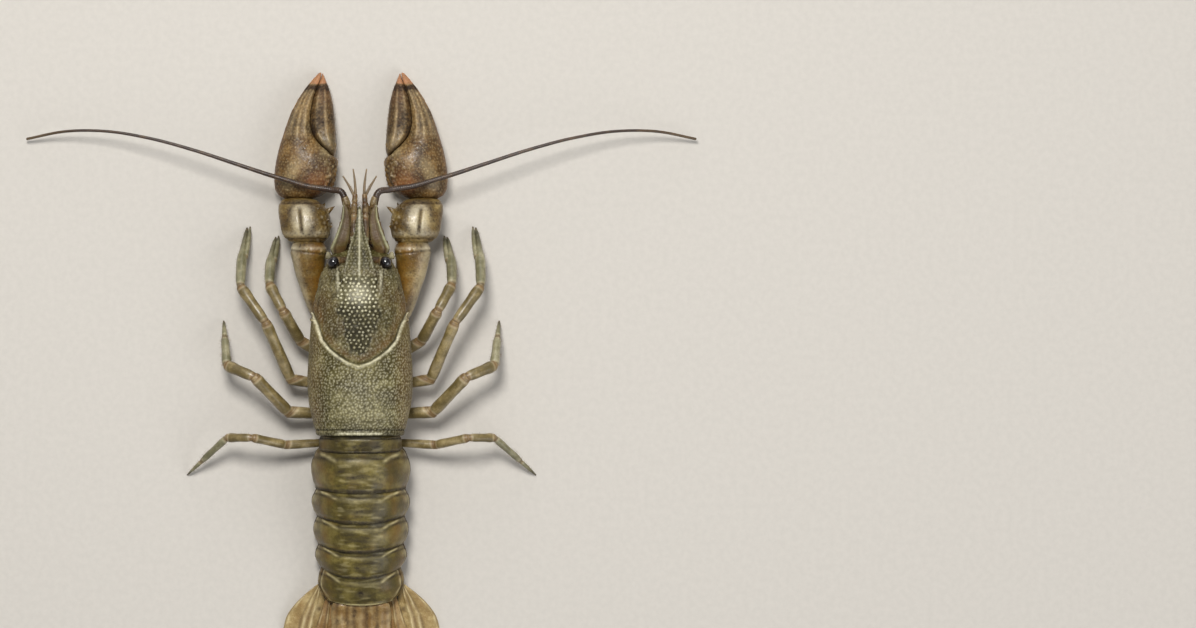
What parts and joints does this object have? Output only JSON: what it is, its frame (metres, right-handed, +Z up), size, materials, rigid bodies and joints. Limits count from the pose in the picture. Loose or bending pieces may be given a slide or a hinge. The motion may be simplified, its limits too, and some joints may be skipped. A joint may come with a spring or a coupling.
{
  "type": "crayfish",
  "caption": "Still, life-size crayfish with closed claws, spread walking legs, swept feelers, ringed abdomen and open tail fan.",
  "frame": {"origin": "on the floor that the claws, leg tips and tail stand on, at the middle of the animal's length and width", "axes": "-Y is the way that the head and claws point, +X is the animal's left side, +Z is up out of its back"},
  "size_m": [0.1212, 0.1106, 0.0192],
  "materials": {
    "shell": "grainy olive shell with a wet gloss",
    "abdomen": "smooth olive-brown plates with dark rear edges",
    "claw": "pitted brown shell, orange tips with dark bands",
    "limb": "tan and grey-green shell, paler joints",
    "tail_fan": "ridged tan blades with a fringe",
    "underside": "cream shell of the underside",
    "feeler": "dark brown ringed feelers",
    "eye": "glossy black"
  },
  "bodies": {
    "root": {"head": "shell", "thorax": "shell", "sternum": "underside", "eye_left": "eye", "eye_right": "eye", "antennule_left": "feeler", "antennule_right": "feeler", "antenna_base_left": "limb", "antenna_base_right": "limb", "antenna_inner_left": "feeler", "antenna_inner_right": "feeler", "antenna_outer_left": "feeler", "antenna_outer_right": "feeler", "maxilliped_left": "limb", "maxilliped_right": "limb", "cheliped_root_left": "limb", "cheliped_root_right": "limb", "cheliped_arm_left": "claw", "cheliped_arm_right": "claw", "cheliped_wrist_left": "claw", "cheliped_wrist_right": "claw", "cheliped_hand_left": "claw", "cheliped_hand_right": "claw", "cheliped_finger_left": "claw", "cheliped_finger_right": "claw", "leg_thigh_2_left": "limb", "leg_thigh_2_right": "limb", "leg_thigh_3_left": "limb", "leg_thigh_3_right": "limb", "leg_thigh_4_left": "limb", "leg_thigh_4_right": "limb", "leg_thigh_5_left": "limb", "leg_thigh_5_right": "limb", "leg_wrist_2_left": "limb", "leg_wrist_2_right": "limb", "leg_wrist_3_left": "limb", "leg_wrist_3_right": "limb", "leg_wrist_4_left": "limb", "leg_wrist_4_right": "limb", "leg_wrist_5_left": "limb", "leg_wrist_5_right": "limb", "leg_hand_2_left": "limb", "leg_hand_2_right": "limb", "leg_hand_3_left": "limb", "leg_hand_3_right": "limb", "leg_hand_4_left": "limb", "leg_hand_4_right": "limb", "leg_hand_5_left": "limb", "leg_hand_5_right": "limb", "abdomen_1": "abdomen", "abdomen_2": "abdomen", "abdomen_3": "abdomen", "abdomen_4": "abdomen", "abdomen_5": "abdomen", "abdomen_6": "abdomen", "telson": "tail_fan", "uropod_inner_left": "tail_fan", "uropod_inner_right": "tail_fan", "uropod_outer_left": "tail_fan", "uropod_outer_right": "tail_fan"}
  },
  "joints": []
}
